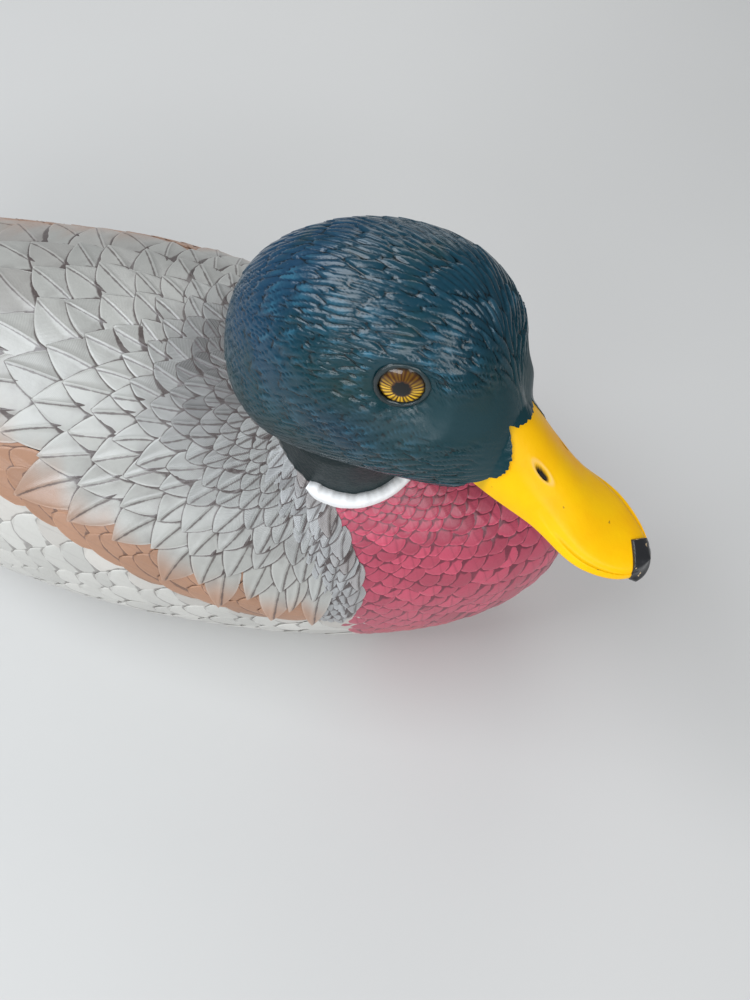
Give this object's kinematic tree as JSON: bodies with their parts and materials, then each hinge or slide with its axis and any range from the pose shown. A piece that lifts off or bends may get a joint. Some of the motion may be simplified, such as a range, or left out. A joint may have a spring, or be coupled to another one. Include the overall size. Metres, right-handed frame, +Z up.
{
  "type": "mallard duck decoy",
  "caption": "Life-size mallard drake decoy in painted cast resin: flat-based body, carved feathers, dark green head turned to its right, white collar and yellow bill.",
  "frame": {"origin": "middle of the flat base that the decoy rests on", "axes": "+Z up, -Y towards the breast and bill, +Y towards the tail, +X to the bird's left"},
  "size_m": [0.1376, 0.3863, 0.1803],
  "materials": {
    "burgundy_paint": "satin paint over cast resin, dark wash between the feathers",
    "warm_grey_paint": "glossy paint over cast resin, brown wash between the feathers",
    "cream_paint": "satin paint over cast resin",
    "black_paint": "satin paint over cast resin",
    "dark_green_paint": "glossy dark green paint with a blue and violet sheen",
    "white_paint": "thick hand-brushed paint",
    "yellow_paint": "satin paint with a faint orange shading",
    "gloss_black_paint": "glossy paint",
    "amber_glass": "clear dome over an amber iris and a black pupil",
    "wing_paint": "satin paint, with a blue patch edged white",
    "pale_grey_paint": "satin paint over cast resin"
  },
  "bodies": {
    "root": {"back": "warm_grey_paint", "belly": "cream_paint", "bill_lower": "yellow_paint", "bill_nail": "gloss_black_paint", "bill_upper": "yellow_paint", "breast": "burgundy_paint", "collar": "white_paint", "curl_left": "gloss_black_paint", "curl_right": "gloss_black_paint", "eye_left": "amber_glass", "eye_right": "amber_glass", "head": "dark_green_paint", "neck": "dark_green_paint", "rump": "black_paint", "tail": "pale_grey_paint", "wing_left": "wing_paint", "wing_right": "wing_paint"}
  },
  "joints": []
}
